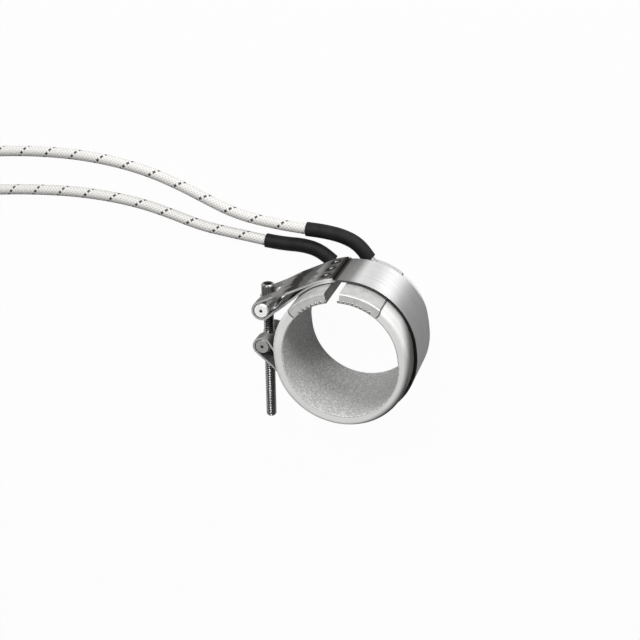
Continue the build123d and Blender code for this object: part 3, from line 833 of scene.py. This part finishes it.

# The clamp strap is bright rolled stainless strip, looped about a barrel at both ends. Spot welds
# hold each tail, and heat tints them. Painted shadow and shade darken the tails and their ends.
WELD_STEP = 0.007
WELD_REACH = 0.0032
WELD_PLACES = [Vector((-0.00929, 0.02905, 0)), Vector((-0.01494, -0.02409, 0))]
# Reach and places of the painted shadow at the tails' ends.
TAIL_END_SHADE_REACH = 0.0092
TAIL_END_PLACES = [Vector((-0.00534, 0.02966, 0)), Vector((-0.01137, -0.02553, 0))]
# Reach and waver of the painted shade on the tails and loops near the barrels.
TAIL_SHADE_REACH = 0.025
TAIL_SHADE_WAVER = 0.010
TAIL_END_X = -0.00699
TAIL_FADE = 0.003
EDGE_LEAN = 0.7
BARREL_PLACES = {
    "plain_barrel": Vector((-0.0348, 0.0122, 0)),
    "threaded_barrel": Vector((-0.0348, -0.0030, 0)),
}


def from_spot_weld(tree, height):
    """How far the surface is from the nearest spot weld of the rows on the two tails."""
    row = sum_node(tree, "MULTIPLY_ADD", height, 1 / WELD_STEP, -STRAP_MIDDLE / WELD_STEP)
    off_row = sum_node(tree, "SUBTRACT", row, sum_node(tree, "ROUND", row))
    up = sum_node(tree, "MULTIPLY", off_row, WELD_STEP)
    side_way = nearest_of(tree, WELD_PLACES)
    square = sum_node(tree, "MULTIPLY", side_way, side_way)
    return sum_node(tree, "SQRT", sum_node(tree, "MULTIPLY_ADD", up, up, square))


def strap_finish():
    """Rolled bright strip: lines along it, a stretched streak of gloss, weld marks, painted shade and
    highlight.
    """
    material, tree, shader = new_finish("bright strap steel")
    lines = ground_lines(tree, 3000)
    bright = colour_steps(tree, lines, [(0.3, (0.52, 0.52, 0.52)), (0.7, (0.64, 0.64, 0.64))])
    surface = add_node(tree, "ShaderNodeTexCoord").outputs
    place = split(tree, surface["Object"])
    weld_stops = [
        (0.0, (0.85, 0.85, 0.85)),
        (0.30, (0.80, 0.80, 0.80)),
        (0.36, (0.12, 0.11, 0.10)),
        (0.56, (0.26, 0.24, 0.22)),
        (0.78, (0.75, 0.73, 0.72)),
        (1.0, (1, 1, 1)),
    ]
    welded = tinted(tree, bright, from_spot_weld(tree, place["Z"]), WELD_REACH, weld_stops)
    # Painted shadow at each tail's end, with painted shade dimming the strap around it.
    tail_end_shade_stops = [
        (0.0, (0.06, 0.055, 0.05)),
        (0.12, (0.11, 0.10, 0.095)),
        (0.20, (0.42, 0.41, 0.40)),
        (0.66, (0.42, 0.415, 0.41)),
        (1.0, (1, 1, 1)),
    ]
    tail_end_shaded = tinted(tree, welded, nearest_of(tree, TAIL_END_PLACES), TAIL_END_SHADE_REACH, tail_end_shade_stops)
    # Painted shade and a painted dark reflection on the tails and loops, set by distance from the barrels.
    shade_waver_noise = own_texture(tree, "Noise", 330, Detail=3)["Fac"]
    uneven = sum_node(tree, "MULTIPLY_ADD", shade_waver_noise, TAIL_SHADE_WAVER, -TAIL_SHADE_WAVER / 2)
    from_barrel = sum_node(tree, "ADD", nearest_of(tree, BARREL_PLACES.values()), uneven)
    tail_shade_stops = [
        (0.0, (0.55, 0.54, 0.54)),
        (0.22, (0.38, 0.37, 0.36)),
        (0.34, (0.62, 0.61, 0.60)),
        (0.50, (0.50, 0.49, 0.48)),
        (0.58, (0.06, 0.055, 0.05)),
        (0.72, (0.08, 0.075, 0.07)),
        (0.80, (0.28, 0.275, 0.27)),
        (0.93, (0.34, 0.335, 0.33)),
        (1.0, (0.85, 0.85, 0.85)),
    ]
    tail_shaded = tinted(tree, tail_end_shaded, from_barrel, TAIL_SHADE_REACH, tail_shade_stops)
    # Painted highlight and shade on the up-facing edges: bright on the tails, dark along the ring.
    sheared = sum_node(tree, "ABSOLUTE", split(tree, surface["Normal"])["Z"])
    sheared = sum_node(tree, "GREATER_THAN", sheared, EDGE_LEAN)
    from_tail = sum_node(tree, "MULTIPLY_ADD", place["X"], 1 / TAIL_FADE, -TAIL_END_X / TAIL_FADE)
    edge_light_and_shade = colour_steps(tree, from_tail, [(0.0, (0.80, 0.80, 0.79)), (1.0, (0.06, 0.06, 0.06))])
    feed(shader, {"Base Color": blended(tree, sheared, tail_shaded, edge_light_and_shade), "Metallic": 0.85})
    feed(shader, {"Roughness": 0.55, "Anisotropic": 0.9, "Anisotropic Rotation": 0.25})
    raise_surface(shader, lines, 0.10, 0.00002)
    return material


dress("clamp_strap", strap_finish())

# Two turned steel barrels lie in the strap's loops, across the screw. The upper one is plain and
# carries the washer, the lower one is tapped, and both keep their lathe marks and centre holes.
BARREL_RADIUS = 0.003
LATHE_STEP = 0.00022


def barrel_finish(name, centre, colour):
    """Turned steel: fine rings about the barrel's own axis, and a dark centre-drill mark."""
    material, tree, shader = new_finish(name)
    spread = spread_from(tree, centre)
    rings = sum_node(tree, "SINE", sum_node(tree, "MULTIPLY", spread, 2 * pi / LATHE_STEP))
    relief = sum_node(tree, "MULTIPLY_ADD", rings, 0.5, 0.5)
    faded = tuple(0.92 * part for part in colour)
    stops = [
        (0.0, (0.02, 0.02, 0.02)),
        (0.19, (0.03, 0.03, 0.03)),
        (0.24, faded),
        (0.8, colour),
        (1.0, faded),
    ]
    tone = colour_steps(tree, sum_node(tree, "MULTIPLY", spread, 1 / BARREL_RADIUS), stops)
    feed(shader, {"Base Color": tone, "Metallic": 0.85, "Roughness": 0.36})
    raise_surface(shader, relief, 0.15, 0.00002)
    return material


BARREL_LOOKS = {
    "plain_barrel": ("turned barrel, bright", (0.90, 0.90, 0.89)),
    "threaded_barrel": ("turned barrel, grey", (0.32, 0.32, 0.315)),
}
for barrel, (look, colour) in BARREL_LOOKS.items():
    dress(barrel, barrel_finish(look, BARREL_PLACES[barrel], colour))

# One long socket-head cap screw draws the two barrels together. It is plated alloy steel, with a
# knurled head, a rolled right-hand thread over its whole shank, and a chamfered tip.
SCREW_X = -0.0348
SCREW_HEAD_Y = 0.0152
SCREW_RADIUS = 0.002085
SCREW_LENGTH = 0.053
SCREW_TIP = 0.0007
SCREW_SIDES = 28
THREAD_PITCH = 0.00079375
THREAD_DEPTH = 0.00046
THREAD_CREST = 0.12
THREAD_ROOT = 0.84
HEAD_RADIUS = 0.0026
HEAD_HEIGHT = 0.005
HEAD_SIDES = 96
KNURLS = 24
KNURL_DEPTH = 0.00016
SOCKET_APOTHEM = 0.0013
SOCKET_DEPTH = 0.0024


def thread_tree():
    """A node tree that makes a rod along +Z with a right-hand thread and a chamfered far end."""
    sizes = {
        "Length": SCREW_LENGTH,
        "Radius": SCREW_RADIUS,
        "Pitch": THREAD_PITCH,
        "Depth": THREAD_DEPTH,
        "Tip": SCREW_TIP,
        "Step": THREAD_PITCH / 8,
    }
    tree, given = new_tree("threaded rod", "Rod", sizes)
    spacing = {"Curve": upright_line(tree, given["Length"]), "Length": given["Step"]}
    axis = add_node(tree, "GeometryNodeResampleCurve", spacing, mode="LENGTH").outputs["Curve"]
    rod = closed_skin(tree, axis, given["Radius"], SCREW_SIDES)
    parts = split(tree, add_node(tree, "GeometryNodeInputPosition").outputs["Position"])
    turn = sum_node(tree, "ARCTAN2", parts["Y"], parts["X"])
    rise = sum_node(tree, "DIVIDE", parts["Z"], given["Pitch"])
    phase = sum_node(tree, "FRACT", sum_node(tree, "MULTIPLY_ADD", turn, -1 / (2 * pi), rise))
    slope = sum_node(tree, "ABSOLUTE", sum_node(tree, "MULTIPLY_ADD", phase, 2.0, -1.0))
    flank_form = {"From Min": THREAD_CREST, "From Max": THREAD_ROOT, "Value": slope}
    flank = add_node(tree, "ShaderNodeMapRange", flank_form).outputs["Result"]
    cut = sum_node(tree, "MULTIPLY", flank, given["Depth"])
    thread_radius = sum_node(tree, "SUBTRACT", given["Radius"], cut)
    to_tip = sum_node(tree, "SUBTRACT", given["Length"], parts["Z"])
    beyond = sum_node(tree, "MAXIMUM", sum_node(tree, "SUBTRACT", given["Tip"], to_tip), 0.0)
    tip_radius = sum_node(tree, "SUBTRACT", given["Radius"], beyond)
    radius = sum_node(tree, "MINIMUM", thread_radius, tip_radius)
    share = sum_node(tree, "DIVIDE", radius, given["Radius"])
    shrunk = {axis_name: sum_node(tree, "MULTIPLY", parts[axis_name], share) for axis_name in ("X", "Y")}
    shrink = add_node(tree, "ShaderNodeCombineXYZ", {**shrunk, "Z": parts["Z"]})
    carving = {"Geometry": rod, "Position": shrink.outputs["Vector"]}
    carved = add_node(tree, "GeometryNodeSetPosition", carving)
    return end_tree(tree, carved.outputs["Geometry"], given["Finish"])


def knurled_head(name):
    """The head, standing on the origin: a knurled drum with a rounded top and a hexagon socket."""
    mould = bmesh.new()
    angles = [2 * pi * step / HEAD_SIDES for step in range(HEAD_SIDES)]

    def ring(height, radii):
        """A ring of points, each at its own radius."""
        return [mould.verts.new((r * cos(a), r * sin(a), height)) for r, a in zip(radii, angles)]

    def circle(height, radius):
        """A plain round ring of points."""
        return ring(height, [radius] * HEAD_SIDES)

    def knurled(height):
        """A ring of points that rises and falls once for each knurl."""
        return ring(height, [HEAD_RADIUS - KNURL_DEPTH * (0.5 - 0.5 * cos(KNURLS * a)) for a in angles])

    def hexagon(height):
        """A ring of points on the socket's six flats."""
        return ring(height, [SOCKET_APOTHEM / cos((a + pi / 6) % (pi / 3) - pi / 6) for a in angles])

    rings = [
        circle(0, HEAD_RADIUS - 0.0002),
        circle(0.0002, HEAD_RADIUS),
        knurled(0.0004),
        knurled(HEAD_HEIGHT - 0.0010),
        circle(HEAD_HEIGHT - 0.0008, HEAD_RADIUS),
        circle(HEAD_HEIGHT - 0.0004, HEAD_RADIUS - 0.00006),
        circle(HEAD_HEIGHT - 0.0001, HEAD_RADIUS - 0.0003),
        circle(HEAD_HEIGHT, HEAD_RADIUS - 0.0005),
        circle(HEAD_HEIGHT, SOCKET_APOTHEM + 0.00032),
        hexagon(HEAD_HEIGHT - 0.0002),
        hexagon(HEAD_HEIGHT - SOCKET_DEPTH),
    ]
    for lower, upper in zip(rings, rings[1:]):
        for step in range(HEAD_SIDES):
            after = (step + 1) % HEAD_SIDES
            mould.faces.new((lower[step], lower[after], upper[after], upper[step]))
    for rim, height in ((rings[0], 0), (rings[-1], HEAD_HEIGHT - SOCKET_DEPTH - 0.0004)):
        pole = mould.verts.new((0, 0, height))
        for step in range(HEAD_SIDES):
            mould.faces.new((rim[step], rim[(step + 1) % HEAD_SIDES], pole))
    bmesh.ops.recalc_face_normals(mould, faces=mould.faces)
    return cast(name, mould)


def screw_finish():
    """Dark plated steel: painted shade in the thread's root and knurls, painted highlight on crests."""
    material, tree, shader = new_finish("plated screw steel")
    from_axis = spread_from(tree, (SCREW_X, 0, STRAP_MIDDLE), (1, 0, 1))
    # Painted shade and highlight by distance from the axis: dark roots, socket rim and knurl valleys,
    # bright crests.
    stops = [
        (0.0, (0.16, 0.16, 0.155)),
        (0.50, (0.12, 0.12, 0.115)),
        (0.63, (0.02, 0.02, 0.02)),
        (0.70, (0.20, 0.20, 0.195)),
        (0.79, (0.52, 0.52, 0.51)),
        (0.90, (0.50, 0.50, 0.49)),
        (0.94, (0.06, 0.06, 0.06)),
        (1.0, (0.56, 0.56, 0.55)),
    ]
    tone = colour_steps(tree, sum_node(tree, "MULTIPLY", from_axis, 1 / HEAD_RADIUS), stops)
    feed(shader, {"Base Color": tone, "Metallic": 0.9, "Roughness": 0.28})
    raise_surface(shader, own_texture(tree, "Noise", 1500)["Fac"], 0.15, 0.00002)
    return material


screw_plate = screw_finish()
shank = grown("shank", bpy.data.meshes.new("shank"), thread_tree(), {"Finish": screw_plate})
head = knurled_head("head")
head.data.materials.append(screw_plate)
head_seat = Vector((SCREW_X, SCREW_HEAD_Y, STRAP_MIDDLE))
for part, sharp_turn, heading in ((shank, radians(50), (0, -1, 0)), (head, radians(40), (0, 1, 0))):
    part.data.shade_smooth()
    part.data.set_sharp_from_angle(angle=sharp_turn)
    set_upright(part.data, head_seat, Vector(heading))
screw = joined_pieces("cap_screw", [shank, head])
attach(screw, "screw")
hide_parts("clamp_screw")

# A flat steel washer lies between the screw's head and the flat milled on the plain barrel. It
# is stamped from sheet and travels with the screw.
dress("screw_washer", plain_metal("washer steel", (0.60, 0.60, 0.59), 0.30, 1300))
